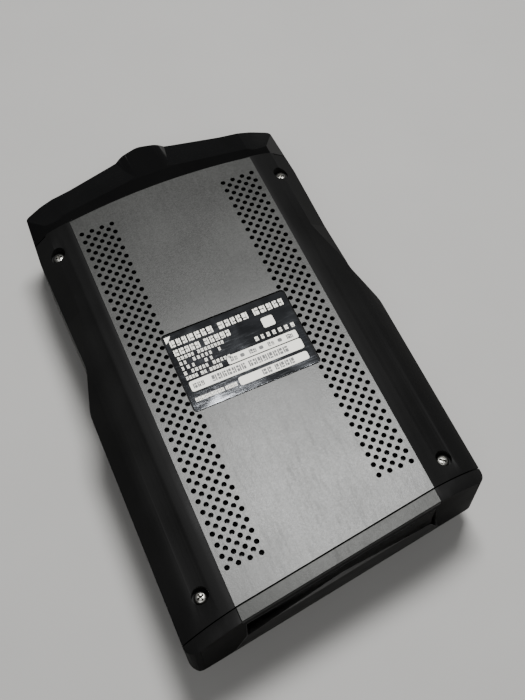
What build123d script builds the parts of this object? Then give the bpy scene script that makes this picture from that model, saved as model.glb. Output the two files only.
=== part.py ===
from build123d import *
import os
from math import hypot

# Radar detector, lying on its real top face with the labelled underside up.
# +X is the object's right with the road-facing end away, +Y points to the road-facing end,
# -Y to the display end, +Z is up. The origin is the middle of the resting face's outline.

# ---------------------------------------------------------------- driving dimensions (mm)
THICKNESS = 27.0          # resting plateau to the face of the vent plate
HALF_WIDTH = 35.5         # half width over the wide, display-side part
WAIST_HALF = 32.5         # half width just ahead of the step in the sides
NOSE_Y = 61.41            # foremost point of the lens cap
NOSE_RADIUS = 4.0         # rounding of the nose tip
NOSE_ROUND_OFF = 0.23     # height that this rounding takes off the tip
ROOF_FALL = 0.154         # fall of the roof ahead of the plate, per millimetre
ROOF_SIDE = (16.0, 47.6, 26.0)    # a point on the right roof facet, which falls forwards
SIDE_FALL = (0.05, 0.43)  # its fall outwards and forwards, per millimetre
ROOF_CORNER = (28.0, 53.9, 22.1)  # a point on the right corner facet
CORNER_FALL = (0.233, 0.413)
HUMP_START = (49.3, 25.77)        # where the hump on the nose starts, along and up
HUMP_FALL = 0.3116        # its fall towards the tip, per millimetre
HUMP_HALF = 10.2          # half width of the hump at its foot
HUMP_TOP_HALF = 4.7       # half width of its top
END_Y = -57.4             # display face on the centreline
END_SLOPE = 0.1226        # the display face is turned towards the driver
STRIP_HALF = 23.3         # half width of the grey centre plate
WALL = 2.0                # housing wall
WING_DROP = 0.3           # wings lie this far below the plate's face
SECTION_HALF = 36.4       # half width of the cross-section before the plan trims it
PARTING_Z = 13.0          # joint between base shell and top cover
GROOVE = 0.2              # height of the line that shows at that joint
SEAM = 0.25               # gap that shows between bezel, shells and cap

BEZEL_DEPTH = 3.0         # thickness of the display bezel
CAP_Y = 43.25             # edge of the lens cap across the wings
PLATE_T = 1.7             # vent plate thickness
PLATE_FAR_Y = 42.8        # corners of the plate's road-facing edge
PLATE_BULGE = 1.8         # rise of that edge on the centreline

HOLE_PITCH = 2.5          # perforation pitch along the plate
HOLE_D = 1.15             # perforation diameter
HOLE_START_Y = 38.25      # first row of perforations
BAND_COLUMNS = 7          # columns in each band, half a pitch apart
BAND_INNER_X = 14.29      # innermost column
LEFT_ROWS, RIGHT_ROWS = 36, 34
DIMPLE_DEPTH = 1.35       # every second column is a blind dimple

LABEL_W, LABEL_L, LABEL_T = 29.4, 19.9, 0.2
LABEL_Y = -5.35           # centre of the label
LABEL_RECESS = 0.4        # depth of the recess that holds the label
LABEL_GAP = 0.3           # gap round the label

SCREW_X = 28.7            # housing screws
SCREW_SITES = [(-SCREW_X, 36.35), (SCREW_X, 36.35), (-SCREW_X, -51.75), (SCREW_X, -45.95)]
SCREW_HEAD_D, SCREW_HEAD_T = 2.8, 0.9
SCREW_D = 1.8
WELL_D = 3.6              # well that the screw head sits in
WELL_FLOOR_Z = 23.3

KEY_NAMES = ["menu", "minus", "plus", "mute"]
KEY_PITCH = 9.4
KEY_L, KEY_W = 7.4, 4.6
KEY_Y = -27.0
KEY_FACE_Z = 0.35         # keys sit below the resting plane
KEY_TRAVEL = 0.35
KEY_GAP = 0.2             # clearance round a key
PLUNGER_TOP_Z = 6.1       # end of a switch plunger inside its switch

BOARD_Z, BOARD_T = 9.0, 1.2
DOCK_Y = 10.0             # centre of the bracket dock on the resting face
JACK_Y, JACK_Z = -22.0, 17.0

DISPLAY_HALF = 22.4       # half width of the window opening
WINDOW_RECESS = 2.1       # window face behind the bezel face
PART_DIR = "parts"


# ---------------------------------------------------------------- small helpers
def block(x, y, z):
    """Box from (low, high) pairs."""
    spans = (x, y, z)
    middle = [(low + high) / 2 for low, high in spans]
    return Pos(*middle) * Box(*[high - low for low, high in spans])


def disc(x, y, z_low, z_high, diameter):
    """Upright cylinder between two heights."""
    height = z_high - z_low
    return Pos(x, y, z_low + height / 2) * Cylinder(diameter / 2, height)


def polygon(points):
    """Closed planar face through (u, v) points."""
    return make_face(Polyline(*points, close=True))


def rounded_block(x, y, z, radius):
    """Box with rounded upright edges."""
    return fillet(block(x, y, z).edges().filter_by(Axis.Z), radius)


def xz_prism(face, y_low, y_high):
    """Face drawn in (x, z), extruded from y_low to y_high."""
    placed = Plane(origin=(0, y_low, 0), x_dir=(1, 0, 0), z_dir=(0, -1, 0)) * face
    return extrude(placed, amount=y_high - y_low, dir=(0, 1, 0))


def yz_prism(face, direction=(1, 0, 0), half=60.0):
    """Face drawn in (y, z), extruded both ways along a near-X direction."""
    placed = Plane(origin=(0, 0, 0), x_dir=(0, 1, 0), z_dir=(1, 0, 0)) * face
    return extrude(placed, amount=half, dir=direction, both=True)


def single(shape):
    """The one solid of a boolean result, the largest where slivers remain."""
    return max(shape.solids(), key=lambda piece: piece.volume)


def slot_row(rows, shift):
    """Y positions of one column of perforations."""
    return [HOLE_START_Y - (row + shift) * HOLE_PITCH for row in range(rows)]


SKEW_DIR = Vector(1, END_SLOPE, 0).normalized()
END_PLANE = Plane(origin=(0, END_Y, 0), x_dir=tuple(SKEW_DIR), z_dir=(END_SLOPE, -1, 0))


def end_prism(face, w_low, w_high):
    """Face drawn on the display face (u along it, v up), between two depths (outwards positive)."""
    return extrude(END_PLANE.offset(w_low) * face, amount=w_high - w_low)


def end_block(u, v, w):
    """Box in display-face coordinates."""
    return end_prism(Pos(sum(u) / 2, sum(v) / 2) * Rectangle(u[1] - u[0], v[1] - v[0]), *w)


def behind_end(depth):
    """Large block that starts a given depth behind the display face."""
    return end_block((-60, 60), (-5, 40), (-200, -depth))


# ---------------------------------------------------------------- housing envelope
def plan_face():
    """Outline seen from above: wide display end, narrow waist, pointed nose."""
    nose = [(WAIST_HALF, 5.8), (33.2, 38.0), (32.4, 51.9), (28.0, 53.9), (20.0, 55.4), (8.0, 58.9)]
    right = [(HALF_WIDTH, -4.2)] + nose
    left = [(-x, y) for x, y in reversed(right)]
    near_right = (HALF_WIDTH, END_Y + END_SLOPE * HALF_WIDTH)
    near_left = (-HALF_WIDTH, END_Y - END_SLOPE * HALF_WIDTH)
    apex = (0, NOSE_Y + NOSE_ROUND_OFF)
    outline = polygon([near_right] + right + [apex] + left + [near_left])

    def radius_at(vertex):
        if abs(vertex.X) < 1:
            return NOSE_RADIUS
        if vertex.Y < -40:
            return 2.6
        if vertex.Y < 10:
            return 9.0
        return 1.6 if abs(vertex.X) > 32.3 and vertex.Y > 50 else 7.0

    corners = [v for v in outline.vertices() if not (30 < v.Y < 45)]
    for radius in sorted({radius_at(v) for v in corners}):
        matching = [v for v in outline.vertices() if not (30 < v.Y < 45)]
        near = [v for v in matching if radius_at(v) == radius and is_corner(v, corners)]
        outline = fillet(near, radius)
    return outline


def is_corner(vertex, corners):
    """True where a vertex is still one of the original corners."""
    return any(hypot(vertex.X - c.X, vertex.Y - c.Y) < 1e-3 for c in corners)


def section_face():
    """Cross-section: flat centre, convex wings, crowned resting side; the plan trims its sides."""
    wing_z = THICKNESS - WING_DROP
    top = Line((-STRIP_HALF, wing_z), (STRIP_HALF, wing_z))
    wing = ThreePointArc((STRIP_HALF, wing_z), (29.6, THICKNESS - 1.95), (SECTION_HALF, THICKNESS - 5.9))
    side = Line((SECTION_HALF, THICKNESS - 5.9), (SECTION_HALF, 10.6))
    turn = ThreePointArc((SECTION_HALF, 10.6), (34.9, 7.2), (31.4, 4.6))
    crown = ThreePointArc((31.4, 4.6), (25.5, 1.7), (18.5, 0))
    rest = Line((18.5, 0), (-18.5, 0))
    half = [wing, side, turn, crown]
    other = [mirror(edge, Plane.YZ) for edge in half]
    return make_face([top, rest] + half + other)


def near_profile():
    """Side view of the display end: upright face, rounded lower edge, ramp to the plateau."""
    far_y, below, above = 70, -4, 32
    ramp_y = -36.0 + below * (-53.6 + 36.0) / 4.6
    ramp = Polyline((far_y, below), (ramp_y, below), (-53.6, 4.6))
    turn = ThreePointArc((-53.6, 4.6), (-56.4, 5.8), (END_Y - 0.6, 8.6))
    rest = Polyline((END_Y - 0.6, 8.6), (END_Y - 0.6, above), (far_y, above), (far_y, below))
    return make_face([ramp, turn, rest])


def far_profile():
    """Side view of the road-facing end: the roof's first slope above, a ramp to the plateau below."""
    tip = (66.3, 23.15)
    crown = (tip[0] - (32 - tip[1]) / ROOF_FALL, 32)
    return polygon([(-70, 32), crown, tip, (66.3, 11.0), (60.0, 5.6), (19.1, -4), (-70, -4)])


def roof_cutters(inset):
    """Half spaces above the roof's outer facets: middle, left and right, and the two corners."""
    facets = [((0, HUMP_START[0], HUMP_START[1] - 0.02), (0, HUMP_FALL))]
    for side in (-1, 1):
        for (x, y, z), (outwards, forwards) in ((ROOF_SIDE, SIDE_FALL), (ROOF_CORNER, CORNER_FALL)):
            facets.append(((side * x, y, z), (side * outwards, forwards)))
    cutters = []
    for point, (fall_x, fall_y) in facets:
        plane = Plane(origin=point, z_dir=(fall_x, fall_y, 1)).offset(-inset)
        cutters.append(plane * Pos(0, 0, 50) * Box(200, 200, 100))
    return cutters


def hump_prism():
    """Round-shouldered ridge down the middle of the nose, gentler than the facets beside it."""
    begin = HUMP_START[0] - 1.3
    top = HUMP_START[1] + 1.3 * HUMP_FALL
    half = [(HUMP_HALF, 14.0), (HUMP_HALF, top - 3.7), (HUMP_TOP_HALF, top)]
    section = polygon([(-x, z) for x, z in half] + [(x, z) for x, z in reversed(half)])
    section = fillet([v for v in section.vertices() if v.Y > top - 1], 3.6)
    placed = Plane(origin=(0, begin, 0), x_dir=(1, 0, 0), z_dir=(0, -1, 0)) * section
    return extrude(placed, amount=18.0 * hypot(1, HUMP_FALL), dir=(0, 1, -HUMP_FALL))


def envelope(inset=0.0):
    """Closed housing form, shrunk by the inset on every side."""
    def shrink(face):
        return offset(face, amount=-inset, kind=Kind.ARC) if inset else face

    body = Pos(0, 0, -2) * extrude(shrink(plan_face()), amount=THICKNESS + 4)
    body = body & xz_prism(shrink(section_face()), -70, 70)
    body = body & yz_prism(shrink(near_profile()), tuple(SKEW_DIR))
    body = body & yz_prism(shrink(far_profile()))
    roofed = body - roof_cutters(inset)
    if inset:
        return single(roofed)
    return single((roofed - wing_facets()) + (body & hump_prism()))


def wing_facets():
    """Shallow facets that slim the wings towards the waist."""
    cutters = []
    for side in (-1, 1):
        stations = [(70.0, 28.8, 25.45), (19.5, 28.8, 25.45), (4.0, 33.6, 23.2)]
        sections = []
        for y, x, z in stations:
            low = z - 0.85 * (38.0 - x)
            points = [(side * x, z), (side * 38.0, low), (side * 38.0, 34.0), (side * x, 34.0)]
            plane = Plane(origin=(0, y, 0), x_dir=(1, 0, 0), z_dir=(0, -1, 0))
            sections.append(plane * polygon(points))
        for first, second in zip(sections, sections[1:]):
            cutters.append(loft([first, second], ruled=True))
    return cutters


OUTER = envelope()
INNER = envelope(WALL)
SHELL = single(OUTER - INNER)


# ---------------------------------------------------------------- regions of the housing
def plate_outline(grow=0.0):
    """Outline of the grey plate from display end to the bulged road-facing edge."""
    half = STRIP_HALF + grow
    far_y = PLATE_FAR_Y + grow
    arc = ThreePointArc((half, far_y), (0, far_y + PLATE_BULGE), (-half, far_y))
    sides = Polyline((-half, far_y), (-half, -70), (half, -70), (half, far_y))
    return make_face([arc, sides])


def cap_region():
    """Space that belongs to the lens cap: beyond the wings' edge and the plate's bulged edge."""
    beyond = block((-40, 40), (CAP_Y, 70), (-1, 30))
    return beyond - extrude(plate_outline(SEAM), amount=40)


def receiver_opening(grow=0.0):
    """Rounded window through the front wall at the nose."""
    outline = Pos(0, 13.8) * RectangleRounded(13.0 + 2 * grow, 9.6 + 2 * grow, 2.2)
    return xz_prism(outline, 52, 66)


BODY_BACK = behind_end(BEZEL_DEPTH + SEAM)
PLATE_POCKET = extrude(Pos(0, 0, THICKNESS - PLATE_T) * plate_outline(0.05), amount=5)


# ---------------------------------------------------------------- housing pieces
def base_shell():
    """Labelled half of the housing: wings, plate pocket, vent openings and screw wells."""
    region = block((-40, 40), (-70, 70), (PARTING_Z + GROOVE / 2, 30)) - cap_region()
    shell = (SHELL & region) & BODY_BACK
    shell -= block((-40, 40), (CAP_Y - SEAM, 70), (-1, THICKNESS - PLATE_T - 0.6))
    shell -= PLATE_POCKET
    for side in (-1, 1):
        low, high = sorted((side * 13.2, side * 22.6))
        shell -= block((low, high), (-50.5, 39.5), (20, 30))
    for x, y in SCREW_SITES:
        shell += disc(x, y, PARTING_Z + GROOVE / 2, 24.2, 6.0) & OUTER
    for x, y in SCREW_SITES:
        shell -= disc(x, y, WELL_FLOOR_Z, 30, WELL_D)
        shell -= disc(x, y, 0, 30, SCREW_D + 0.5)
    shell -= jack_opening()
    return single(shell)


def jack_opening():
    """Round opening for the supply plug in the left side wall."""
    return Pos(-HALF_WIDTH, JACK_Y, JACK_Z) * Rot(0, 90, 0) * Cylinder(3.6, 12)


def key_sites():
    """Name and centre of each key."""
    start = -KEY_PITCH * (len(KEY_NAMES) - 1) / 2
    return [(name, start + index * KEY_PITCH) for index, name in enumerate(KEY_NAMES)]


def top_cover():
    """Real top of the detector: crowned shell with key inlay, dock recess and screw posts."""
    region = block((-40, 40), (-70, CAP_Y - SEAM), (-1, PARTING_Z - GROOVE / 2))
    tongue_space = block((-40, 40), (-70, CAP_Y - SEAM), (PARTING_Z - 0.5, PARTING_Z + GROOVE / 2))
    shell = (SHELL & region) + ((envelope(1.0) - INNER) & tongue_space)
    shell = shell & BODY_BACK
    for x, y in SCREW_SITES:
        shell += disc(x, y, 1.0, PARTING_Z + GROOVE / 2, 5.6) & OUTER
        shell -= disc(x, y, 6.0, 30, SCREW_D + 0.04)
    for x, y in BOARD_SCREWS:
        shell += disc(x, y, 1.0, BOARD_Z, 5.0) & OUTER
        shell -= disc(x, y, 4.0, 30, 1.44)
    shell -= rounded_block((-21, 21), (KEY_Y - 5.2, KEY_Y + 5.2), (-1, 0.95), 2.0)
    for name, x in key_sites():
        shell -= key_block(x, KEY_GAP, -1, 5)
    shell -= rounded_block((-13, 13), (DOCK_Y - 10, DOCK_Y + 10), (-1, 1.2), 2.5)
    for x in DOCK_CONTACT_X:
        shell -= block((x - 1.1, x + 1.1), (DOCK_Y - 1.6, DOCK_Y + 1.6), (0, 5))
    return single(shell)


def lens_cap():
    """Glossy cap round the road-facing end, with the opening for the receiver lens."""
    beyond = block((-40, 40), (CAP_Y, 70), (-1, 30)) - extrude(plate_outline(SEAM), amount=40)
    tongue_core = envelope(WALL + 1.1)
    tongue = (envelope(WALL + 0.1) - tongue_core) & block((-40, 40), (CAP_Y - 2.2, CAP_Y + 0.1), (-1, 24.0))
    root = (envelope(WALL - 0.3) - tongue_core) & block((-40, 40), (CAP_Y, CAP_Y + 2.0), (-1, 24.0))
    cap = (SHELL & beyond) + (tongue + root)
    return single(cap - receiver_opening(0.05))


def receiver_lens():
    """Smoked window in front of the laser receiver, a little below the cap's face."""
    return single((receiver_opening() & envelope(0.2)) - INNER)


def front_bezel():
    """Black frame of the display end."""
    slab = end_block((-60, 60), (-5, 40), (-BEZEL_DEPTH, 5))
    bezel = (OUTER & slab) - trim_space()
    bezel -= end_prism(polygon(window_outline(0.05)), -10, 5)
    rim_space = end_block((-60, 60), (-5, 24.2), (-4.5, -BEZEL_DEPTH))
    rim = (envelope(WALL + 0.1) - envelope(WALL + 1.3)) & rim_space
    rim -= end_block((-30.5, 30.5), (8.6, 23.7), (-10, 5))
    return single(single(bezel) + rim)


def trim_space():
    """Pocket of the bezel that holds the grey trim strip."""
    return block((-STRIP_HALF - 0.05, STRIP_HALF + 0.05), (-70, -40), (THICKNESS - PLATE_T, 30))


def bezel_trim():
    """Grey strip that carries the centre plate across the bezel."""
    strip = block((-STRIP_HALF, STRIP_HALF), (-70, -40), (THICKNESS - PLATE_T, THICKNESS))
    strip = strip & end_block((-60, 60), (-5, 40), (-BEZEL_DEPTH, 0))
    return single(strip)


def window_outline(grow=0.0):
    """Opening of the bezel: upright at the top, splayed towards the lip."""
    half = [(26.0 + grow, 7.6 - grow), (22.9 + grow, 14.0), (22.7 + grow, 23.6 + grow)]
    return [(-u, v) for u, v in reversed(half)] + half


def window_frame():
    """Stepped sill and splayed lip that carry the window."""
    frame = end_prism(polygon(window_outline()), -BEZEL_DEPTH, 0)
    sill = [(0.2, 7.7), (-0.95, 10.5), (-WINDOW_RECESS, 10.8), (-WINDOW_RECESS, 23.2), (0.2, 23.2)]
    profile = Plane(origin=END_PLANE.from_local_coords((-40, 0, 0)), x_dir=tuple(END_PLANE.z_dir),
                    z_dir=tuple(-SKEW_DIR)) * polygon(sill)
    sill_cut = extrude(profile, amount=80, dir=tuple(SKEW_DIR))
    cheeks = [(-25.5, 7.5), (25.5, 7.5), (DISPLAY_HALF, 14.0), (DISPLAY_HALF, 23.3)]
    cheeks += [(-DISPLAY_HALF, 23.3), (-DISPLAY_HALF, 14.0)]
    frame -= sill_cut & end_prism(polygon(cheeks), -10, 5)
    frame -= end_block((-21.4, 21.4), (11.4, 22.8), (-10, 5))
    return single(frame)


def display_window():
    """Smoked window pane."""
    return end_block((-21.3, 21.3), (11.5, 22.7), (-BEZEL_DEPTH, -WINDOW_RECESS))


def vent_plate():
    """Grey centre plate: perforations, blind dimples and the label recess."""
    face = plate_outline()
    plate = extrude(Pos(0, 0, THICKNESS - PLATE_T) * face, amount=PLATE_T) & BODY_BACK
    through, blind = [], []
    for side, rows in ((-1, LEFT_ROWS), (1, RIGHT_ROWS)):
        for column in range(BAND_COLUMNS):
            x = side * (BAND_INNER_X + column * HOLE_PITCH / 2)
            odd = column % 2
            beside_label = column == 0
            for y in slot_row(rows - odd, 0.5 * odd):
                if beside_label and abs(y - LABEL_Y) < LABEL_L / 2:
                    continue
                (blind if odd else through).append((x, y))
    plate = single(plate)
    drills = [disc(x, y, THICKNESS - PLATE_T - 1, THICKNESS + 1, HOLE_D) for x, y in through]
    drills += [disc(x, y, THICKNESS - DIMPLE_DEPTH, THICKNESS + 1, HOLE_D) for x, y in blind]
    half_w, half_l = LABEL_W / 2 + LABEL_GAP, LABEL_L / 2 + LABEL_GAP
    recess_z = (THICKNESS - LABEL_RECESS, THICKNESS + 1)
    drills.append(rounded_block((-half_w, half_w), (LABEL_Y - half_l, LABEL_Y + half_l), recess_z, 0.95))
    return single(plate - drills)


def rating_label():
    """Thin metal label in the plate's recess."""
    z = (THICKNESS - LABEL_RECESS, THICKNESS - LABEL_RECESS + LABEL_T)
    x = (-LABEL_W / 2, LABEL_W / 2)
    return rounded_block(x, (LABEL_Y - LABEL_L / 2, LABEL_Y + LABEL_L / 2), z, 0.8)


def cross_recess(x, y, z_top, size):
    """Cross-shaped driver recess."""
    bars = Box(size, size * 0.24, 0.9) + Box(size * 0.24, size, 0.9)
    return Pos(x, y, z_top) * bars


def housing_screws():
    """Four thread-forming screws, pan heads down in the wells."""
    screws = []
    for x, y in SCREW_SITES:
        head_top = WELL_FLOOR_Z + SCREW_HEAD_T
        head = disc(x, y, WELL_FLOOR_Z, head_top, SCREW_HEAD_D)
        head = fillet(head.edges().sort_by(Axis.Z)[-1], 0.4)
        screw = head + disc(x, y, 7.0, WELL_FLOOR_Z, SCREW_D)
        screws.append(single(screw - cross_recess(x, y, head_top, 1.7)))
    return Compound(screws)


# ---------------------------------------------------------------- keys
def key_block(x, grow, z_low, z_high):
    """Rounded rectangular column at a key's place."""
    half_l, half_w = KEY_L / 2 + grow, KEY_W / 2 + grow
    return rounded_block((x - half_l, x + half_l), (KEY_Y - half_w, KEY_Y + half_w), (z_low, z_high), 1.2)


def key_cap(x):
    """Key with a retaining flange behind the cover and a rib for the switch."""
    cap = key_block(x, 0, KEY_FACE_Z, 3.0)
    cap = chamfer(cap.faces().sort_by(Axis.Z)[0].edges(), 0.25)
    flange = block((x - 4.3, x + 4.3), (KEY_Y - 3.1, KEY_Y + 3.1), (2.15, 2.95))
    dish = Pos(x, KEY_Y, KEY_FACE_Z - 17.85) * Sphere(18.0)
    return single((cap + flange) - dish)


def key_plunger(x):
    """Stem of the tact switch behind a key."""
    return disc(x, KEY_Y, 3.0, PLUNGER_TOP_Z, 3.0)


def tact_switches():
    """Switch bodies on the resting side of the main board."""
    bodies = []
    for name, x in key_sites():
        body = block((x - 3, x + 3), (KEY_Y - 3, KEY_Y + 3), (5.3, BOARD_Z))
        bodies.append(single(body - disc(x, KEY_Y, 4, PLUNGER_TOP_Z + KEY_TRAVEL + 0.15, 3.4)))
    return Compound(bodies)


def key_panel():
    """Glossy inlay round the keys."""
    panel = rounded_block((-20.9, 20.9), (KEY_Y - 5.1, KEY_Y + 5.1), (0.15, 0.95), 1.9)
    for name, x in key_sites():
        panel -= key_block(x, KEY_GAP, -1, 5)
    return single(panel)


# ---------------------------------------------------------------- dock and inlet
DOCK_CONTACT_X = [-4.5, -1.5, 1.5, 4.5]


def dock_pad():
    """Bracket face: flat pad, flush with the resting plateau."""
    pad = rounded_block((-12.9, 12.9), (DOCK_Y - 9.9, DOCK_Y + 9.9), (0.05, 1.2), 2.4)
    for x in DOCK_CONTACT_X:
        pad -= block((x - 1.05, x + 1.05), (DOCK_Y - 1.55, DOCK_Y + 1.55), (-1, 5))
    return single(pad)


def dock_contacts():
    """Gold supply pads."""
    pads = [block((x - 1, x + 1), (DOCK_Y - 1.5, DOCK_Y + 1.5), (0.25, 2.6)) for x in DOCK_CONTACT_X]
    return Compound(pads)


def dock_magnets():
    """Holding magnets behind the dock face."""
    return Compound([disc(x, DOCK_Y, 2.05, 4.55, 8.0) for x in (-11.5, 11.5)])


def power_jack():
    """Supply inlet: square body behind the wall, round barrel and centre pin."""
    body = block((-31.5, -24.5), (JACK_Y - 4.5, JACK_Y + 4.5), (BOARD_Z + BOARD_T, JACK_Z + 4.2))
    barrel = Pos(-32.0, JACK_Y, JACK_Z) * Rot(0, 90, 0) * Cylinder(3.5, 5.6)
    bore = Pos(-31.2, JACK_Y, JACK_Z) * Rot(0, 90, 0) * Cylinder(2.5, 10.0)
    pin = Pos(-29.9, JACK_Y, JACK_Z) * Rot(0, 90, 0) * Cylinder(0.65, 7.4)
    return single(((body + barrel) - bore) + pin)


# ---------------------------------------------------------------- inside
BOARD_SCREWS = [(-19.5, -41.0), (19.5, -38.0), (-21.0, 27.0), (21.0, 27.0)]
BOARD_TOP = BOARD_Z + BOARD_T


def main_board():
    """Main circuit board on the cover's posts."""
    outline = polygon([(-24.8, -45.5), (24.8, -40.5), (24.8, 34.0), (-24.8, 34.0)])
    board = extrude(Pos(0, 0, BOARD_Z) * outline, amount=BOARD_T)
    for x, y in BOARD_SCREWS:
        board -= disc(x, y, 0, 30, 1.9)
    return single(board)


def board_screws():
    """Small screws that hold the main board."""
    screws = []
    for x, y in BOARD_SCREWS:
        screw = disc(x, y, BOARD_TOP, BOARD_TOP + 0.9, 3.0) + disc(x, y, 4.6, BOARD_TOP, 1.4)
        screws.append(single(screw - cross_recess(x, y, BOARD_TOP + 0.9, 1.5)))
    return Compound(screws)


def radar_horn():
    """Cast horn antenna, flaring towards the road."""
    def aperture(y, half_x, z_low, z_high):
        plane = Plane(origin=(0, y, (z_low + z_high) / 2), x_dir=(1, 0, 0), z_dir=(0, -1, 0))
        return plane * Rectangle(2 * half_x, z_high - z_low)

    outside = loft([aperture(14, 7, 11.0, 19.0), aperture(41, 16, 11.0, 23.6)])
    mouth = loft([aperture(18, 4.6, 12.6, 17.0), aperture(41.1, 14.6, 12.2, 22.4)])
    foot = block((-12, 12), (6, 16), (11.0, 20.0))
    return single((outside + foot) - mouth)


def radar_board():
    """Microwave circuit under the horn."""
    return block((-13.5, 13.5), (4.0, 33.5), (BOARD_TOP, 11.0))


def laser_sensor():
    """Photodiode can aimed through the receiver lens."""
    can = Pos(0, 52.2, 15.6) * Rot(90, 0, 0) * Cylinder(3.0, 4.6)
    flange = Pos(0, 50.2, 15.6) * Rot(90, 0, 0) * Cylinder(3.6, 0.6)
    return single(can + flange)


def laser_board():
    """Small upright board that holds the photodiode."""
    return block((-9.0, 9.0), (48.6, 49.8), (7.0, 21.6))


def speaker_frame():
    """Speaker basket with its magnet, facing the left vent band."""
    frame = rounded_block((-24.4, -11.6), (-40.5, -12.5), (19.6, 24.2), 3.0)
    frame -= rounded_block((-23.4, -12.6), (-39.5, -13.5), (21.6, 30), 2.4)
    return single(frame + disc(-18.0, -26.5, 15.6, 19.6, 10.0))


def speaker_cone():
    """Oval speaker diaphragm."""
    cone = rounded_block((-23.4, -12.6), (-39.5, -13.5), (23.0, 23.4), 2.4)
    return single(cone + disc(-18.0, -26.5, 21.6, 23.0, 7.0))


def dust_mesh():
    """Fabric mesh behind each vent band."""
    mesh_top = THICKNESS - PLATE_T
    strips = []
    for side in (-1, 1):
        low, high = sorted((side * 13.3, side * 22.5))
        strips.append(block((low, high), (-50.4, 39.4), (mesh_top - 0.4, mesh_top)))
    return Compound(strips)


def display_module():
    """Display glass panel behind the window."""
    return end_block((-21.2, 21.2), (11.2, 23.0), (-4.6, -BEZEL_DEPTH - 0.3))


def window_gasket():
    """Thin frame seal between window frame and display."""
    ring = end_block((-22.4, 22.4), (10.4, 23.6), (-BEZEL_DEPTH - 0.3, -BEZEL_DEPTH))
    return single(ring - end_block((-20.6, 20.6), (12.2, 22.0), (-10, 5)))


def display_board():
    """Driver board of the display."""
    return end_block((-22.0, 22.0), (10.8, 23.4), (-5.8, -4.6))


def display_connector():
    """Socket between display board and main board."""
    return end_block((-8.0, 8.0), (BOARD_TOP, 14.5), (-13.6, -5.8))


def gps_antenna():
    """Ceramic patch antenna under the board, facing the sky in use."""
    return rounded_block((-9, 9), (23.0, 33.0), (4.6, BOARD_Z), 0.6)


def shield_can(x, y, height):
    """Pressed shield can on the upper side of the main board, with a bevelled lid edge."""
    can = block(x, y, (BOARD_TOP, BOARD_TOP + height))
    return chamfer(can.faces().sort_by(Axis.Z)[-1].edges(), 0.3)


def backup_cell():
    """Coin cell that keeps the satellite data."""
    return disc(15.5, -6.0, BOARD_TOP, BOARD_TOP + 3.2, 12.0)


# ---------------------------------------------------------------- write the nodes
def all_nodes():
    """Every sub-part by name."""
    nodes = {
        "base_shell": base_shell(),
        "top_cover": top_cover(),
        "lens_cap": lens_cap(),
        "receiver_lens": receiver_lens(),
        "front_bezel": front_bezel(),
        "bezel_trim": bezel_trim(),
        "window_frame": window_frame(),
        "display_window": display_window(),
        "vent_plate": vent_plate(),
        "rating_label": rating_label(),
        "housing_screws": housing_screws(),
        "key_panel": key_panel(),
        "tact_switches": tact_switches(),
        "dock_pad": dock_pad(),
        "dock_contacts": dock_contacts(),
        "dock_magnets": dock_magnets(),
        "power_jack": power_jack(),
        "main_board": main_board(),
        "board_screws": board_screws(),
        "radar_horn": radar_horn(),
        "radar_board": radar_board(),
        "laser_sensor": laser_sensor(),
        "laser_board": laser_board(),
        "speaker_frame": speaker_frame(),
        "speaker_cone": speaker_cone(),
        "dust_mesh": dust_mesh(),
        "display_module": display_module(),
        "window_gasket": window_gasket(),
        "display_board": display_board(),
        "display_connector": display_connector(),
        "gps_antenna": gps_antenna(),
        "wifi_module": shield_can((2.0, 14.0), (-36.0, -18.0), 2.4),
        "processor_shield": shield_can((-9.0, 8.0), (-14.0, 2.0), 2.0),
        "backup_cell": backup_cell(),
    }
    for name, x in key_sites():
        nodes[name + "_key"] = key_cap(x)
        nodes[name + "_plunger"] = key_plunger(x)
    return nodes


os.makedirs(PART_DIR, exist_ok=True)
for node_name, shape in all_nodes().items():
    export_step(shape, os.path.join(PART_DIR, node_name + ".step"))
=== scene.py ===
import random
from math import cos, pi, radians, sin

import bmesh
import bpy
import numpy as np
from mathutils import Matrix, Vector


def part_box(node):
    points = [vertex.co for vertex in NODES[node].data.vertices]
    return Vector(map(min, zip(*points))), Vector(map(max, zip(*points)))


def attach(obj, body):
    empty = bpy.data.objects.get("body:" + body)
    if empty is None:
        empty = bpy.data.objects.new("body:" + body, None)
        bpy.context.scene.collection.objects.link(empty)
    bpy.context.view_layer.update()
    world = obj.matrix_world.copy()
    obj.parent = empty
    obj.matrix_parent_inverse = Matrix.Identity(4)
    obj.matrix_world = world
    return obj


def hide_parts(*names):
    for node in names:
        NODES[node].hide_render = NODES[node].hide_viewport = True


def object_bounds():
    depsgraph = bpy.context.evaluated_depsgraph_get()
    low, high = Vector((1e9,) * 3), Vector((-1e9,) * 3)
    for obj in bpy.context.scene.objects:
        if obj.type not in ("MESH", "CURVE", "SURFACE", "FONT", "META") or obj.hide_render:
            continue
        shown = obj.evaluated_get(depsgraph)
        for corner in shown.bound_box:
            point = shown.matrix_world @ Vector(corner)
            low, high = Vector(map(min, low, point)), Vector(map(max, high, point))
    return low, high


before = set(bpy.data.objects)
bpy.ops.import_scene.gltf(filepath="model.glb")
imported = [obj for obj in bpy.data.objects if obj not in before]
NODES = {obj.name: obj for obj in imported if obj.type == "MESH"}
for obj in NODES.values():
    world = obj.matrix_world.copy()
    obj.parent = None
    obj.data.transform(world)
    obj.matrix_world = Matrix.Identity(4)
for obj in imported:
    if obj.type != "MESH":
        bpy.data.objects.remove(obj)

# Radar detector lying on its real top face, labelled underside up.
# Lengths in this script are millimetres times MM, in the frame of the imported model:
# +X right, +Y towards the road-facing end, -Y the display end, +Z up.
MM = 0.001
CAD_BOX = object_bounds()
HOUSING = "housing"
KEYS = ["menu", "minus", "plus", "mute"]


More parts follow.
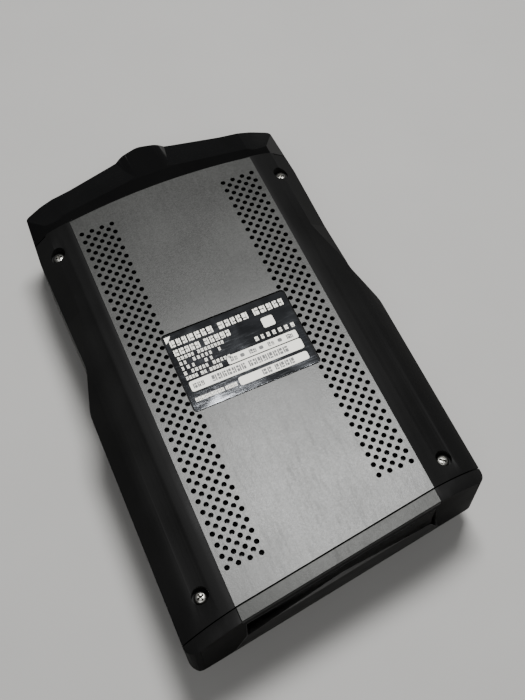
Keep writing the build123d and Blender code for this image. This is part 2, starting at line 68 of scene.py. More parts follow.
# ---------------------------------------------------------------- node material helpers
class Finish:
    """One material under construction: a Principled shader and what feeds it."""

    def __init__(self, name, colour, roughness, **fixed):
        self.material = bpy.data.materials.new(name)
        self.material.use_nodes = True
        self.tree = self.material.node_tree
        self.shader = self.tree.nodes["Principled BSDF"]
        self.shader.inputs["Base Color"].default_value = (*colour, 1)
        self.shader.inputs["Roughness"].default_value = roughness
        for socket, value in fixed.items():
            self.shader.inputs[socket.replace("_", " ")].default_value = value
        self.place = self.node("ShaderNodeTexCoord").outputs["Object"]
        self.height = None

    def node(self, kind, **settings):
        made = self.tree.nodes.new(kind)
        for key, value in settings.items():
            setattr(made, key, value)
        return made

    def link(self, source, target):
        self.tree.links.new(source, target)

    def stretched(self, scale):
        """Object coordinates with a scale for each axis."""
        mapping = self.node("ShaderNodeMapping")
        mapping.inputs["Scale"].default_value = scale
        self.link(self.place, mapping.inputs["Vector"])
        return mapping.outputs["Vector"]

    def noise(self, size, detail=3.0, scale=(1, 1, 1), distortion=0.0):
        """Noise with features of about this size in metres."""
        made = self.node("ShaderNodeTexNoise")
        made.inputs["Scale"].default_value = 1 / size
        made.inputs["Detail"].default_value = detail
        made.inputs["Distortion"].default_value = distortion
        self.link(self.stretched(scale), made.inputs["Vector"])
        return made.outputs["Fac"]

    def cells(self, size):
        """Cellular pattern with cells of about this size in metres."""
        made = self.node("ShaderNodeTexVoronoi")
        made.inputs["Scale"].default_value = 1 / size
        self.link(self.place, made.inputs["Vector"])
        return made.outputs["Distance"]

    def remap(self, value, low, high, start=0.0, end=1.0):
        """Clamped linear step of a value from (low, high) to (start, end)."""
        made = self.node("ShaderNodeMapRange")
        made.inputs["From Min"].default_value = low
        made.inputs["From Max"].default_value = high
        made.inputs["To Min"].default_value = start
        made.inputs["To Max"].default_value = end
        self.link(value, made.inputs["Value"])
        return made.outputs["Result"]

    def math(self, operation, first, second):
        """Math node of two values, each a socket or a number."""
        made = self.node("ShaderNodeMath", operation=operation)
        for socket, value in zip(made.inputs, (first, second)):
            if isinstance(value, (int, float)):
                socket.default_value = value
            else:
                self.link(value, socket)
        return made.outputs["Value"]

    def blend(self, factor, first, second):
        """Colour between two, each a socket or a colour."""
        made = self.node("ShaderNodeMix", data_type="RGBA")
        self.link(factor, made.inputs["Factor"])
        for socket, colour in ((made.inputs[6], first), (made.inputs[7], second)):
            if isinstance(colour, tuple):
                socket.default_value = (*colour, 1)
            else:
                self.link(colour, socket)
        return made.outputs[2]

    def facing_up(self, low=0.55, high=0.8):
        """1 on faces that look up in the object's own frame, 0 on walls and undersides."""
        normal = self.node("ShaderNodeTexCoord").outputs["Normal"]
        split = self.node("ShaderNodeSeparateXYZ")
        self.link(normal, split.inputs["Vector"])
        return self.remap(split.outputs["Z"], low, high)

    def height_of(self):
        """Height of a point in metres, in the object's own frame."""
        split = self.node("ShaderNodeSeparateXYZ")
        self.link(self.place, split.inputs["Vector"])
        return split.outputs["Z"]

    def colour(self, socket):
        self.link(socket, self.shader.inputs["Base Color"])

    def metallic(self, socket):
        self.link(socket, self.shader.inputs["Metallic"])

    def specular(self, socket):
        self.link(socket, self.shader.inputs["Specular IOR Level"])

    def roughness(self, socket):
        self.link(socket, self.shader.inputs["Roughness"])

    def bump(self, height, depth):
        """Relief of this depth in metres; several calls add up."""
        made = self.node("ShaderNodeBump")
        made.inputs["Strength"].default_value = 1
        made.inputs["Distance"].default_value = depth
        self.link(height, made.inputs["Height"])
        if self.height is not None:
            self.link(self.height, made.inputs["Normal"])
        self.height = made.outputs["Normal"]
        self.link(self.height, self.shader.inputs["Normal"])


def shade(colour, factor):
    """Colour scaled in brightness."""
    return tuple(channel * factor for channel in colour)


def moulded(name, colour, rough, grain, depth, walls=None, **fixed):
    """Moulded plastic or rubber: fine cellular grain, uneven gloss, faint cloudiness.

    walls is the specular level of faces that do not look up, where it differs; a low value there
    is painted shade.
    """
    spread, mottle = 0.16, 0.18
    made = Finish(name, colour, sum(rough) / 2, **fixed)
    if walls is not None:
        level = fixed["Specular_IOR_Level"]
        made.specular(made.remap(made.facing_up(), 0, 1, walls, level))
    cloud = made.noise(14 * MM, detail=4)
    fine = made.noise(grain * 2.2, detail=2)
    tone = made.math("ADD", made.math("MULTIPLY", cloud, 0.7), made.math("MULTIPLY", fine, 0.3))
    steps = made.remap(tone, 0.5 - spread, 0.5 + spread)
    made.colour(made.blend(steps, shade(colour, 1 - mottle), shade(colour, 1 + mottle)))
    made.roughness(made.remap(tone, 0.35, 0.65, *rough))
    made.bump(made.cells(grain), depth)
    made.bump(made.noise(grain * 0.6, detail=1), depth * 0.5)
    return made.material


def polished(name, colour, rough, smear=0.06, **fixed):
    """Polished plastic or glass: faint orange peel, wiping marks and dust in the gloss."""
    made = Finish(name, colour, rough, **fixed)
    wipe = made.noise(9 * MM, detail=5, scale=(1.0, 0.35, 1.0), distortion=0.6)
    dust = made.remap(made.noise(0.5 * MM, detail=1), 0.70, 0.78)
    gloss = made.remap(wipe, 0.38, 0.7, rough, rough + smear)
    made.roughness(made.math("ADD", gloss, made.math("MULTIPLY", dust, 0.15)))
    made.colour(made.blend(made.remap(wipe, 0.3, 0.7), colour, shade(colour, 1.35)))
    made.bump(made.noise(1.6 * MM, detail=1), 0.004 * MM)
    return made.material


def metal(name, colour, rough, grain=(1, 1, 1), size=0.3, depth=0.004, **fixed):
    """Bare or plated metal: directional scratches, tarnish clouds."""
    made = Finish(name, colour, sum(rough) / 2, Metallic=1.0, **fixed)
    lines = made.noise(size * MM, detail=4, scale=grain)
    cloud = made.noise(3 * MM, detail=3)
    made.colour(made.blend(made.remap(cloud, 0.3, 0.7), shade(colour, 0.82), colour))
    made.roughness(made.remap(lines, 0.35, 0.65, *rough))
    made.bump(lines, depth * MM)
    return made.material


# ---------------------------------------------------------------- materials
PAINT_METALLIC = 0.2
# Painted shade on the satin paint: near-black colour and a low specular level.
WALL_SHADE_BLACK, WALL_SHADE_SPECULAR = (0.006, 0.006, 0.006), 0.03
# Painted shade between these heights, over the floor of the label's recess.
SHADE_BAND_LOW, SHADE_BAND_HIGH, SHADE_BAND_FADE = 26.3 * MM, 26.9 * MM, 0.02 * MM


def satin_paint(name, grey, gloss):
    """Grey metallic satin paint; hole walls, edges and the label recess's floor are drawn
    near-black and barely reflective, standing in for shade.
    """
    made = Finish(name, grey, 0.4)
    flake = made.cells(0.16 * MM)
    cloud = made.noise(20 * MM, detail=5)
    fine = made.noise(0.4 * MM, detail=3)
    rubbed = made.noise(0.7 * MM, detail=4, scale=(1.0, 0.15, 1.0), distortion=0.5)
    tone = made.math("ADD", made.math("MULTIPLY", cloud, 0.5), made.math("MULTIPLY", fine, 0.5))
    paint = made.blend(made.remap(tone, 0.36, 0.64), shade(grey, 0.84), shade(grey, 1.14))
    # Painted shade: faces that do not look up, and the band of heights at the label recess's
    # floor, get near-black colour, no metal and low specular.
    above = made.remap(made.height_of(), SHADE_BAND_HIGH, SHADE_BAND_HIGH + SHADE_BAND_FADE)
    below = made.remap(made.height_of(), SHADE_BAND_LOW, SHADE_BAND_LOW - SHADE_BAND_FADE)
    unshaded = made.math("MULTIPLY", made.facing_up(), made.math("ADD", above, below))
    made.colour(made.blend(unshaded, WALL_SHADE_BLACK, paint))
    made.metallic(made.math("MULTIPLY", unshaded, PAINT_METALLIC))
    made.specular(made.remap(unshaded, 0, 1, WALL_SHADE_SPECULAR, gloss))
    made.roughness(made.math("ADD", made.remap(tone, 0.35, 0.65, 0.29, 0.37),
                             made.remap(rubbed, 0.5, 0.8, 0.0, 0.04)))
    made.bump(flake, 0.006 * MM)
    made.bump(fine, 0.006 * MM)
    made.bump(rubbed, 0.0012 * MM)
    return made.material


def soft_touch(name, walls=None):
    """Soft-touch black of the wings and the bezel; with walls given, the walls' lower specular
    level is painted shade.
    """
    return moulded(name, (0.0045, 0.0045, 0.0044), (0.5, 0.64), 0.14 * MM, 0.006 * MM,
                   walls=walls, Specular_IOR_Level=0.1)


def cover_grain():
    """Fine satin grain of the crowned cover."""
    return moulded("cover_black", (0.0065, 0.0065, 0.0064), (0.42, 0.56), 0.32 * MM,
                   0.014 * MM, Specular_IOR_Level=0.2)


def sill_satin():
    """Satin grey of the window's sill, with painted shade down its steep lip: near-black colour
    and lower specular there.
    """
    grey, lip_painted_shade = (0.052, 0.051, 0.047), (0.006, 0.006, 0.0057)
    made = Finish("frame_grey", grey, 0.34)
    drawn = made.noise(0.5 * MM, detail=3, scale=(0.08, 1, 1))
    fine = made.noise(0.3 * MM, detail=2)
    level = made.facing_up(0.5, 0.72)
    satin = made.blend(made.remap(fine, 0.35, 0.65), shade(grey, 0.85), shade(grey, 1.15))
    # Painted shade: faces that do not look up, the steep lip, go near-black and get lower
    # specular than the level ledge.
    made.colour(made.blend(level, lip_painted_shade, satin))
    made.specular(made.remap(level, 0, 1, 0.14, 0.6))
    made.roughness(made.remap(drawn, 0.35, 0.65, 0.3, 0.44))
    made.bump(drawn, 0.003 * MM)
    return made.material


def label_foil():
    """Dark printed foil: mirror-like, slightly wavy, rubbed."""
    dark = (0.056, 0.059, 0.064)
    made = Finish("label_metal", dark, 0.12, Metallic=0.8)
    cloud = made.noise(6 * MM, detail=4, distortion=0.8)
    rubbed = made.noise(0.8 * MM, detail=4, scale=(0.25, 2.2, 1), distortion=0.4)
    tone = made.remap(cloud, 0.35, 0.68)
    made.colour(made.blend(tone, shade(dark, 0.7), shade(dark, 1.4)))
    made.roughness(made.math("ADD", made.remap(cloud, 0.3, 0.7, 0.05, 0.08),
                             made.remap(rubbed, 0.5, 0.8, 0, 0.07)))
    made.bump(made.noise(7 * MM, detail=1), 0.012 * MM)
    made.bump(rubbed, 0.0015 * MM)
    return made.material


def ink(name, colour):
    """Printed ink, a little uneven."""
    made = Finish(name, colour, 0.45)
    grain = made.noise(0.22 * MM, detail=3)
    made.colour(made.blend(made.remap(grain, 0.3, 0.7), shade(colour, 0.86), colour))
    made.roughness(made.remap(grain, 0.3, 0.7, 0.36, 0.55))
    made.bump(grain, 0.002 * MM)
    return made.material


def circuit():
    """Solder resist over copper tracks."""
    green, track_green = (0.012, 0.085, 0.035), (0.03, 0.16, 0.06)
    made = Finish("board_green", green, 0.3, Coat_Weight=0.4)
    brick = made.node("ShaderNodeTexBrick", offset=0.37, squash=1.6)
    brick.inputs["Scale"].default_value = 260
    brick.inputs["Mortar Size"].default_value = 0.012
    made.link(made.place, brick.inputs["Vector"])
    track = brick.outputs["Fac"]
    cloud = made.noise(5 * MM)
    tone = made.blend(cloud, shade(green, 0.8), shade(green, 1.15))
    made.colour(made.blend(track, tone, track_green))
    made.roughness(made.remap(cloud, 0.3, 0.7, 0.22, 0.38))
    made.bump(track, 0.03 * MM)
    return made.material


def cloth():
    """Fine woven dust mesh."""
    made = Finish("mesh_cloth", (0.012, 0.012, 0.012), 0.85, Sheen_Weight=0.2)
    weave = []
    for axis in ("X", "Y"):
        wave = made.node("ShaderNodeTexWave", wave_type="BANDS", bands_direction=axis)
        wave.inputs["Scale"].default_value = 320
        made.link(made.place, wave.inputs["Vector"])
        weave.append(wave.outputs["Fac"])
    threads = made.math("MAXIMUM", *weave)
    made.colour(made.blend(threads, (0.004, 0.004, 0.004), (0.022, 0.022, 0.022)))
    made.roughness(made.remap(threads, 0, 1, 0.95, 0.7))
    made.bump(threads, 0.08 * MM)
    return made.material


def all_materials():
    """Every finish by name: the record's slots, the bezel's own two, and the inks."""
    black = (0.012, 0.012, 0.012)
    return {
        "plate_grey": satin_paint("plate_grey", (0.033, 0.0335, 0.0316), 0.28),
        "trim_grey": satin_paint("trim_grey", (0.020, 0.0204, 0.019), 0.1),
        "shell_soft_black": soft_touch("shell_soft_black"),
        # Painted shade: the bezel's walls reflect far less than its faces that look up.
        "bezel_black": soft_touch("bezel_black", walls=0.02),
        "cover_black": cover_grain(),
        "cap_gloss_black": polished("cap_gloss_black", (0.0022, 0.0022, 0.0022), 0.07,
                                    Specular_IOR_Level=0.12),
        "smoked_lens": polished("smoked_lens", (0.010, 0.004, 0.0045), 0.03,
                                Specular_IOR_Level=0.3),
        "frame_grey": sill_satin(),
        "window_glass": polished("window_glass", (0.006, 0.006, 0.008), 0.03, smear=0.05,
                                 Coat_Weight=0.5),
        "label_metal": label_foil(),
        "screw_steel": metal("screw_steel", (0.3, 0.295, 0.275), (0.24, 0.4), size=0.12),
        "switch_black": moulded("switch_black", black, (0.4, 0.6), 0.2 * MM, 0.01 * MM),
        "dock_black": moulded("dock_black", (0.02, 0.02, 0.02), (0.6, 0.8), 0.25 * MM,
                              0.015 * MM),
        "contact_gold": metal("contact_gold", (0.85, 0.6, 0.24), (0.15, 0.32), (0.3, 3, 1), 0.2),
        "magnet_nickel": metal("magnet_nickel", (0.6, 0.59, 0.56), (0.12, 0.3), size=0.5),
        "board_green": circuit(),
        "horn_cast": metal("horn_cast", (0.5, 0.5, 0.5), (0.35, 0.6), size=0.5, depth=0.03),
        "can_steel": metal("can_steel", (0.58, 0.58, 0.57), (0.2, 0.42), (0.2, 3, 1), 0.3),
        "cone_paper": moulded("cone_paper", (0.03, 0.03, 0.03), (0.75, 0.95), 0.4 * MM,
                              0.04 * MM),
        "mesh_cloth": cloth(),
        "gasket_rubber": moulded("gasket_rubber", black, (0.8, 0.95), 0.3 * MM, 0.03 * MM),
        "connector_cream": moulded("connector_cream", (0.55, 0.5, 0.38), (0.35, 0.5), 0.3 * MM,
                                   0.01 * MM),
        "patch_ceramic": moulded("patch_ceramic", (0.5, 0.45, 0.36), (0.5, 0.7), 0.15 * MM,
                                 0.01 * MM),
        "key_black": moulded("key_black", (0.016, 0.016, 0.016), (0.34, 0.48), 0.22 * MM,
                             0.006 * MM),
        "plunger_red": moulded("plunger_red", (0.22, 0.02, 0.02), (0.3, 0.45), 0.3 * MM,
                               0.01 * MM),
        "ink_white": ink("ink_white", (0.87, 0.85, 0.76)),
        "ink_dark": ink("ink_dark", (0.03, 0.03, 0.029)),
        "ink_grey": ink("ink_grey", (0.42, 0.43, 0.43)),
    }


FINISH = all_materials()


# ---------------------------------------------------------------- carried-over CAD nodes
CREASE = radians(9)       # a face boundary turning more than this is a real edge
FLAT = radians(0.15)      # facets turning less than this are one flat face
WELD = 0.0005 * MM        # vertices closer than this are one vertex
SNAP = 1e7                # steps in a metre when split vertices are matched by place


def mesh_array(items, attribute, kind, width=1):
    """One attribute of every item of a mesh collection, as an array."""
    flat = np.empty(len(items) * width, dtype=kind)
    items.foreach_get(attribute, flat)
    return flat.reshape(-1, width) if width > 1 else flat


def crease_edges(mesh):
    """Indices and middle points of the real edges of a CAD mesh, whose faces meet split."""
    places = mesh_array(mesh.vertices, "co", np.float32, 3).astype(float)
    vertex = mesh_array(mesh.loops, "vertex_index", np.int32)
    edge = mesh_array(mesh.loops, "edge_index", np.int32)
    normal = mesh_array(mesh.corner_normals, "vector", np.float32, 3)
    start = mesh_array(mesh.polygons, "loop_start", np.int32)
    total = mesh_array(mesh.polygons, "loop_total", np.int32)
    following = np.arange(len(vertex)) + 1
    following[start + total - 1] = start
    snapped = np.round(places * SNAP).astype(np.int64)
    point = np.unique(snapped, axis=0, return_inverse=True)[1].reshape(-1)
    here, there = point[vertex], point[vertex[following]]
    swap = (here > there)[:, None]
    one = np.where(swap, normal[following], normal)
    two = np.where(swap, normal, normal[following])
    pair = np.minimum(here, there) * (point.max() + 1) + np.maximum(here, there)
    order = np.argsort(pair, kind="stable")
    _, first, count = np.unique(pair[order], return_index=True, return_counts=True)
    a, b = order[first[count == 2]], order[first[count == 2] + 1]
    level = np.minimum((one[a] * one[b]).sum(1), (two[a] * two[b]).sum(1))
    sharp = level < cos(CREASE)
    middles = (places[vertex] + places[vertex[following]]) / 2
    for k, m in zip(a[sharp], b[sharp]):
        yield int(edge[k]), int(edge[m]), Vector(middles[k])


def soften(name, width, share=None):
    """Round a CAD node's real edges. share(point) scales the width, 0 leaves it sharp."""
    node = NODES[name]
    mesh = node.data
    weights = mesh.attributes.new("bevel_weight_edge", "FLOAT", "EDGE")
    for first, second, middle in crease_edges(mesh):
        weight = share(middle) if share else 1.0
        weights.data[first].value = weights.data[second].value = weight
    weld = node.modifiers.new("weld", "WELD")
    weld.merge_threshold = WELD
    flat = node.modifiers.new("flat", "DECIMATE")
    flat.decimate_type = "DISSOLVE"
    flat.angle_limit = FLAT
    flat.delimit = {"NORMAL"}
    bevel = node.modifiers.new("bevel", "BEVEL")
    bevel.limit_method = "WEIGHT"
    bevel.width = width
    bevel.segments = 2
    bevel.harden_normals = True
    bevel.use_clamp_overlap = True


def dress_nodes():
    """Every CAD node takes the finish of the record's slot, save two of the bezel's."""
    own = {"bezel_trim": "trim_grey", "front_bezel": "bezel_black"}
    for name, node in NODES.items():
        materials = node.data.materials
        slot = own.get(name, materials[0].name.split(".")[0])
        materials.clear()
        materials.append(FINISH[slot])


# Edge radii: full on the outer corners, slight where pieces meet.
SLIGHT, FAINT = 0.3, 0.2


def outer_edge(point):
    """Full radius along the sides and round the road-facing end."""
    return 1.0 if abs(point.x) > 28 * MM or point.y > 50 * MM else SLIGHT


def base_edge(point):
    """The base shell's edges, faint at the parting line."""
    return outer_edge(point) if point.z > 13.5 * MM else FAINT


def cover_edge(point):
    """The top cover's edges, slight on the resting face and faint at the parting line."""
    if point.z < 2 * MM:
        return SLIGHT
    return outer_edge(point) if point.z < 12.5 * MM else FAINT


def cap_edge(point):
    """The lens cap's edges, nearly sharp where the hump runs out into the roof."""
    beside_hump = abs(point.x) < 14 * MM and point.y > 47 * MM and point.z > 20 * MM
    if beside_hump:
        return 0.12
    return 1.0 if point.y > 44.5 * MM else SLIGHT


def bezel_edge(point):
    """The bezel's edges, full at its two ends."""
    return 1.0 if abs(point.x) > 27 * MM else 0.4


def plate_edge(point):
    """The plate's edges, on its face only."""
    return 1.0 if point.z > 26.8 * MM else 0.0


def soften_nodes():
    """Edge radii of the moulded and machined pieces that show."""
    shaped = (
        ("base_shell", 0.45, base_edge),
        ("top_cover", 0.45, cover_edge),
        ("lens_cap", 0.5, cap_edge),
        ("front_bezel", 0.4, bezel_edge),
        ("vent_plate", 0.1, plate_edge),
    )
    for name, radius, share in shaped:
        soften(name, radius * MM, share)
    even = {
        "bezel_trim": 0.14,
        "window_frame": 0.18,
        "display_window": 0.12,
        "receiver_lens": 0.3,
        "rating_label": 0.03,
        "key_panel": 0.12,
        "dock_pad": 0.15,
        "dock_contacts": 0.1,
        "power_jack": 0.15,
    }
    even.update({key + "_key": 0.12 for key in KEYS})
    for name, radius in even.items():
        soften(name, radius * MM)


# ---------------------------------------------------------------- mesh helpers
def new_piece(name, bm, material, body=HOUSING, smooth=True):
    """Mesh object from a bmesh, riding on a body."""
    mesh = bpy.data.meshes.new(name)
    bmesh.ops.recalc_face_normals(bm, faces=bm.faces)
    bm.to_mesh(mesh)
    bm.free()
    for face in mesh.polygons:
        face.use_smooth = smooth
    mesh.materials.append(material)
    piece = bpy.data.objects.new(name, mesh)
    bpy.context.scene.collection.objects.link(piece)
    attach(piece, body)
    return piece


def rounded_outline(u, v, width, height, radius):
    """Corner points of a rounded rectangle round (u, v)."""
    steps = 4
    radius = min(radius, width / 2, height / 2)
    points = []
    for corner, (su, sv) in enumerate([(1, 1), (-1, 1), (-1, -1), (1, -1)]):
        cu, cv = u + su * (width / 2 - radius), v + sv * (height / 2 - radius)
        for step in range(steps + 1):
            angle = (corner + step / steps) * pi / 2
            points.append((cu + radius * cos(angle), cv + radius * sin(angle)))
    return points


def arc(outer, inner, angles):
    """Outline of part of a ring round the origin, along these angles."""
    rim = [(outer * cos(a), outer * sin(a)) for a in angles]
    hub = [(inner * cos(a), inner * sin(a)) for a in reversed(angles)]
    return rim + hub


def join_rings(bm, rings):
    """Side faces between closed rings of vertices, one after another."""
    for upper, lower in zip(rings, rings[1:]):
        for k in range(len(upper)):
            n = (k + 1) % len(upper)
            corners = [upper[k], lower[k], lower[n], upper[n]]
            bm.faces.new(list(dict.fromkeys(corners)))


def slab(bm, outline, low, high):
    """Closed prism through an outline, between two heights."""
    bottom = [bm.verts.new((x, y, low)) for x, y in outline]
    top = [bm.verts.new((x, y, high)) for x, y in outline]
    bm.faces.new(list(reversed(bottom)))
    bm.faces.new(top)
    join_rings(bm, [top, bottom])


# ---------------------------------------------------------------- label print
WIDTHS = (0.56, 0.64, 0.72)    # widths of the letter-sized marks, in mark heights
WORD_SPACE = 2.6               # space between words, in spaces between marks


class Print:
    """Thin ink shapes on the label, in millimetres from its centre."""

    FILM = 0.012 * MM

    def __init__(self, level=0, seed=7):
        low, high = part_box("rating_label")
        self.cx, self.cy, top = (low.x + high.x) / 2, (low.y + high.y) / 2, high.z
        self.low = top + self.FILM * level * 0.5
        self.high = top + self.FILM * (1 + level)
        self.bm = bmesh.new()
        self.rng = random.Random(seed)

    def shape(self, outline):
        placed = [(self.cx + u * MM, self.cy + v * MM) for u, v in outline]
        slab(self.bm, placed, self.low, self.high)

    def field(self, u0, u1, v0, v1, radius):
        """Rounded field between two corners."""
        self.shape(rounded_outline((u0 + u1) / 2, (v0 + v1) / 2, u1 - u0, v1 - v0, radius))

    def mark(self, u, v, height):
        """One letter-sized mark made of separate strokes, no letter; returns its width."""
        stroke, soft, gap = height * 0.2, height * 0.06, height * 0.07
        width = height * self.rng.choice(WIDTHS)
        cut = v + height * self.rng.choice((0.34, 0.5, 0.62))
        if self.rng.random() < 0.5:
            self.field(u, u + stroke, v, v + height, soft)
            self.field(u + stroke + gap, u + width, v, cut - gap, soft)
            self.field(u + stroke + gap, u + width, cut + gap, v + height, soft)
        else:
            self.field(u + width - stroke, u + width, v, v + height, soft)
            self.field(u, u + width - stroke - gap, cut, v + height, soft)
            self.field(u, u + width - stroke - gap, v, cut - 2 * gap, soft)
        return width

    def words(self, u, v, lengths, height, end=None):
        """A line of words. Where it has to end at a place, the spacing is stretched to suit."""
        spacing = height * 0.14
        if end is not None:
            marks = sum(lengths)
            state = self.rng.getstate()
            widths = sum(height * self.rng.choice(WIDTHS) for _ in range(marks))
            self.rng.setstate(state)
            spaces = marks + WORD_SPACE * (len(lengths) - 1) - 1
            spacing = (end - u - widths) / spaces
        for count in lengths:
            for _ in range(count):
                u += self.mark(u, v, height) + spacing
            u += WORD_SPACE * spacing

    def piece(self, name, finish):
        return new_piece(name, self.bm, FINISH[finish], smooth=False)


def label_print():
    """Generic print on the label: letter-sized marks and plain fields. No lettering, no signs."""
    white = Print()
    white.words(-13.7, 6.55, [7, 5, 5], 1.75, end=13.3)
    white.words(-13.7, 4.2, [5, 5], 1.6, end=0.1)
    top_line, line_pitch = 2.95, 1.3
    lines = (
        ((5, 8), -2.5),
        ((2, 5, 1), -3.4),
        ((3, 2), -6.2),
        ((1, 5, 5), -2.6),
        ((4, 2, 4), -5.3),
    )
    for k, (lengths, end) in enumerate(lines):
        white.words(-13.5, top_line - line_pitch * k, lengths, 0.85, end=end)
    white.words(-13.6, -7.9, [9, 4], 0.95, end=-3.9)
    white.words(4.0, 0.4, [7], 1.1, end=13.3)
    white.field(-3.65, 13.1, -2.5, -0.4, 0.35)
    white.field(-13.45, 13.2, -5.4, -2.8, 0.5)
    white.field(-3.3, 13.1, -8.3, -6.25, 0.5)
    white.shape([(-14.4, 9.55), (-14.4, 7.9), (-13.7, 8.4), (-12.9, 9.55)])
    white.field(7.1, 9.9, 2.7, 5.3, 0.4)
    white.piece("label_print_white", "ink_white")

    dark = Print(level=1, seed=11)
    first_sign, sign_pitch = -2.95, 2.25
    for k, width in enumerate((1.35, 1.1, 1.3, 1.15, 1.2, 1.1, 1.2)):
        u = first_sign + k * sign_pitch
        if k % 2:
            dark.field(u + 0.1, u + 1.1, -1.9, -1.0, 0.3)
        else:
            dark.mark(u, -2.0, 1.15)
            dark.mark(u + width * 0.7, -2.0, 1.0)
    dark.words(-12.8, -4.75, [3], 1.2)
    dark.words(-8.4, -4.85, [7, 8], 1.5, end=9.9)
    dark.words(2.2, -7.95, [2, 4], 1.4, end=9.4)
    dark.piece("label_print_dark", "ink_dark")


# ---------------------------------------------------------------- screws
HEAD_R, HEAD_T = 1.4 * MM, 0.9 * MM
SHANK_R, SHANK_LOW, TIP_LOW = 0.7 * MM, 8 * MM, 7 * MM
HEAD_TURNS = 48
# Dome of the head as (radius, depth below its top), in millimetres.
DOME = ((0.0, 0.0), (0.5, 0.02), (0.95, 0.10), (1.24, 0.28), (1.38, 0.55))
# Driver recess as (height over the top, reach of a wing, half width of a wing), in millimetres.
RECESS = ((0.06, 0.88, 0.23), (-0.5, 0.62, 0.17), (-0.85, 0.24, 0.12), (-1.0, 0.13, 0.06))


def screw_head(bm, x, y, top_z):
    """Turned pan head and shank, as a lathe profile round the screw's axis."""
    floor_z = top_z - HEAD_T
    profile = [(radius * MM, top_z - depth * MM) for radius, depth in DOME]
    profile += [(HEAD_R, top_z - HEAD_T * 0.75), (HEAD_R, floor_z)]
    profile += [(SHANK_R, floor_z), (SHANK_R, SHANK_LOW), (0.0, TIP_LOW)]
    angles = [2 * pi * k / HEAD_TURNS for k in range(HEAD_TURNS)]
    rings = []
    for r, z in profile:
        if r == 0:
            rings.append([bm.verts.new((x, y, z))] * HEAD_TURNS)
        else:
            rings.append([bm.verts.new((x + r * cos(a), y + r * sin(a), z)) for a in angles])
    join_rings(bm, rings)


def cross_pit(bm, x, y, top_z):
    """Tapered four-winged driver recess, a little proud of the head."""
    turn = radians(24 + 9e3 * (x + y))
    levels = []
    for z, reach, half in RECESS:
        outline = []
        for wing in range(4):
            a = turn + wing * pi / 2
            along, across = Vector((cos(a), sin(a))), Vector((-sin(a), cos(a)))
            outline += [along * reach - across * half, along * reach + across * half]
            outline.append((along + across) * half)
        levels.append([bm.verts.new((x + p.x * MM, y + p.y * MM, top_z + z * MM))
                       for p in outline])
    bm.faces.new(levels[0])
    bm.faces.new(list(reversed(levels[-1])))
    join_rings(bm, levels)


def screws():
    """The four housing screws again, with domed heads and tapered cross recesses."""
    low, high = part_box("housing_screws")
    left, right, far = low.x + HEAD_R, high.x - HEAD_R, high.y - HEAD_R
    points = [vertex.co for vertex in NODES["housing_screws"].data.vertices]
    near_left = low.y + HEAD_R
    near_right = min(point.y for point in points if point.x > 0) + HEAD_R
    sites = [(left, far), (left, near_left), (right, far), (right, near_right)]
    heads, pits = bmesh.new(), bmesh.new()
    for x, y in sites:
        screw_head(heads, x, y, high.z)
        cross_pit(pits, x, y, high.z)
    cutter = new_piece("screw_pits", pits, FINISH["screw_steel"])
    piece = new_piece("machine_screws", heads, FINISH["screw_steel"])
    carve = piece.modifiers.new("carve", "BOOLEAN")
    carve.operation, carve.solver, carve.object = "DIFFERENCE", "EXACT", cutter
    evaluated = piece.evaluated_get(bpy.context.evaluated_depsgraph_get())
    carved = bpy.data.meshes.new_from_object(evaluated)
    piece.modifiers.clear()
    piece.data = carved
    bpy.data.objects.remove(cutter)
    carved.shade_smooth()
    carved.set_sharp_from_angle(angle=radians(32))
    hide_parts("housing_screws")


# ---------------------------------------------------------------- key legends
DISH_R, DISH_DEPTH = 18.0, 0.15          # finger dish of a key
LEGEND_RISE, LEGEND_SINK = 0.02, 0.03    # a legend over and under the dish's surface


def key_legend(key, shapes):
    """Thin raised legend in the finger dish of one key; shapes are outlines round its centre."""
    low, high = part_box(key + "_key")
    cx, cy = (low.x + high.x) / 2, (low.y + high.y) / 2
    bm = bmesh.new()

    def settle(point, lift):
        x, y = point
        dish = max(DISH_DEPTH - (x * x + y * y) / (2 * DISH_R), 0)
        return bm.verts.new((cx + x * MM, cy + y * MM, low.z + (dish - lift) * MM))

    for outline in shapes:
        outer = [settle(point, LEGEND_RISE) for point in outline]
        inner = [settle(point, -LEGEND_SINK) for point in outline]
        bm.faces.new(outer)
        bm.faces.new(list(reversed(inner)))
        join_rings(bm, [outer, inner])
    new_piece(key + "_legend", bm, FINISH["ink_grey"], body=key + "_button",
              smooth=False)


def key_legends():
    """Plain signs: three bars, minus, plus, and a speaker."""
    def bar(x, y, length, height):
        return rounded_outline(x, y, length, height, 0.12)

    key_legend("menu", [bar(0, y, 1.7, 0.26) for y in (-0.55, 0, 0.55)])
    key_legend("minus", [bar(0, 0, 1.6, 0.3)])
    key_legend("plus", [bar(0, 0, 1.6, 0.3), bar(0, 0.5, 0.3, 0.6), bar(0, -0.5, 0.3, 0.6)])
    cone = [(-0.95, -0.28), (-0.6, -0.28), (-0.1, -0.7)]
    cone += [(-0.1, 0.7), (-0.6, 0.28), (-0.95, 0.28)]
    half_line, wave_x = 0.11, 0.05
    angles = [radians(-45 + 90 * k / 8) for k in range(9)]
    waves = []
    for radius in (0.45, 0.85):
        outline = arc(radius + half_line, radius - half_line, angles)
        waves.append([(wave_x + x, y) for x, y in outline])
    key_legend("mute", [cone] + waves)


# ---------------------------------------------------------------- floor, lights, camera
FLOOR_HALF = 1.2
WORLD_COLOUR, WORLD_STRENGTH = (0.55, 0.56, 0.58, 1), 0.2


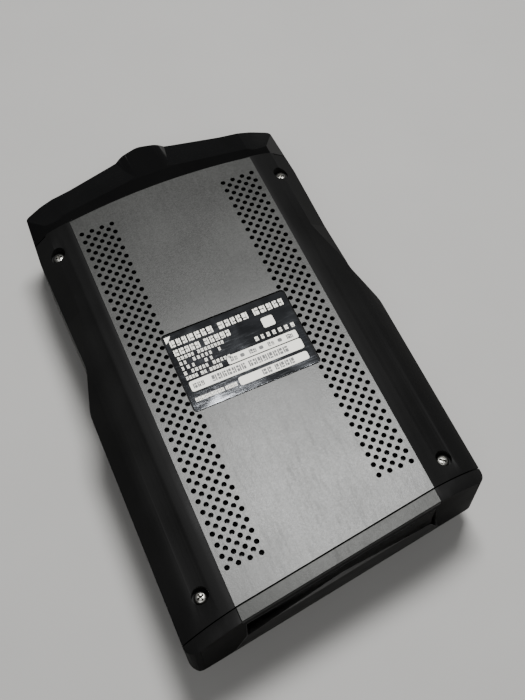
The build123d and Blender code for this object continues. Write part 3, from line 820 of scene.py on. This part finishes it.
def floor():
    """Plain pale floor under the resting face."""
    bm = bmesh.new()
    bmesh.ops.create_grid(bm, x_segments=8, y_segments=8, size=FLOOR_HALF)
    mesh = bpy.data.meshes.new("floor")
    bm.to_mesh(mesh)
    bm.free()
    made = Finish("floor_pale", (0.36, 0.355, 0.342), 0.8)
    grain = made.noise(30 * MM, detail=4)
    made.colour(made.blend(grain, (0.345, 0.34, 0.328), (0.375, 0.37, 0.357)))
    mesh.materials.append(made.material)
    piece = bpy.data.objects.new("floor", mesh)
    piece.location.z = CAD_BOX[0].z
    bpy.context.scene.collection.objects.link(piece)


def softbox(name, place, target, size, power):
    """Rectangular area light aimed at a point."""
    light = bpy.data.lights.new(name, "AREA")
    light.shape = "RECTANGLE"
    light.size, light.size_y = size
    light.energy = power
    lamp = bpy.data.objects.new(name, light)
    lamp.location = place
    lamp.rotation_mode = "QUATERNION"
    lamp.rotation_quaternion = (Vector(target) - Vector(place)).to_track_quat("-Z", "Y")
    bpy.context.scene.collection.objects.link(lamp)


def lights():
    """Small overhead softbox towards the far right, weak fill from the display end."""
    centre = (CAD_BOX[0] + CAD_BOX[1]) / 2
    softbox("key", (0.11, 0.148, 0.62), centre, (0.2, 0.12), 6.4)
    softbox("fill", (-0.12, -0.42, 0.7), centre, (0.5, 0.3), 2.0)
    world = bpy.data.worlds.new("studio")
    world.use_nodes = True
    background = world.node_tree.nodes["Background"]
    background.inputs["Color"].default_value = WORLD_COLOUR
    background.inputs["Strength"].default_value = WORLD_STRENGTH
    bpy.context.scene.world = world


def camera():
    """Hand-held view from above the display end, turned so that the object lies aslant."""
    right, up = (0.9138, -0.4056, -0.0195), (0.3654, 0.8004, 0.4751)
    back = (-0.1771, -0.4413, 0.8797)
    data = bpy.data.cameras.new("camera")
    data.sensor_width = 36
    data.lens = 51.9
    data.clip_start, data.clip_end = 0.005, 10
    lens = bpy.data.objects.new("camera", data)
    turn = Matrix((right, up, back)).transposed()
    lens.rotation_mode = "QUATERNION"
    lens.rotation_quaternion = turn.to_quaternion()
    lens.location = (-0.03492, -0.10551, 0.22212)
    bpy.context.scene.collection.objects.link(lens)
    bpy.context.scene.camera = lens


# ---------------------------------------------------------------- put it together
dress_nodes()
soften_nodes()
screws()
label_print()
key_legends()
floor()
lights()
camera()
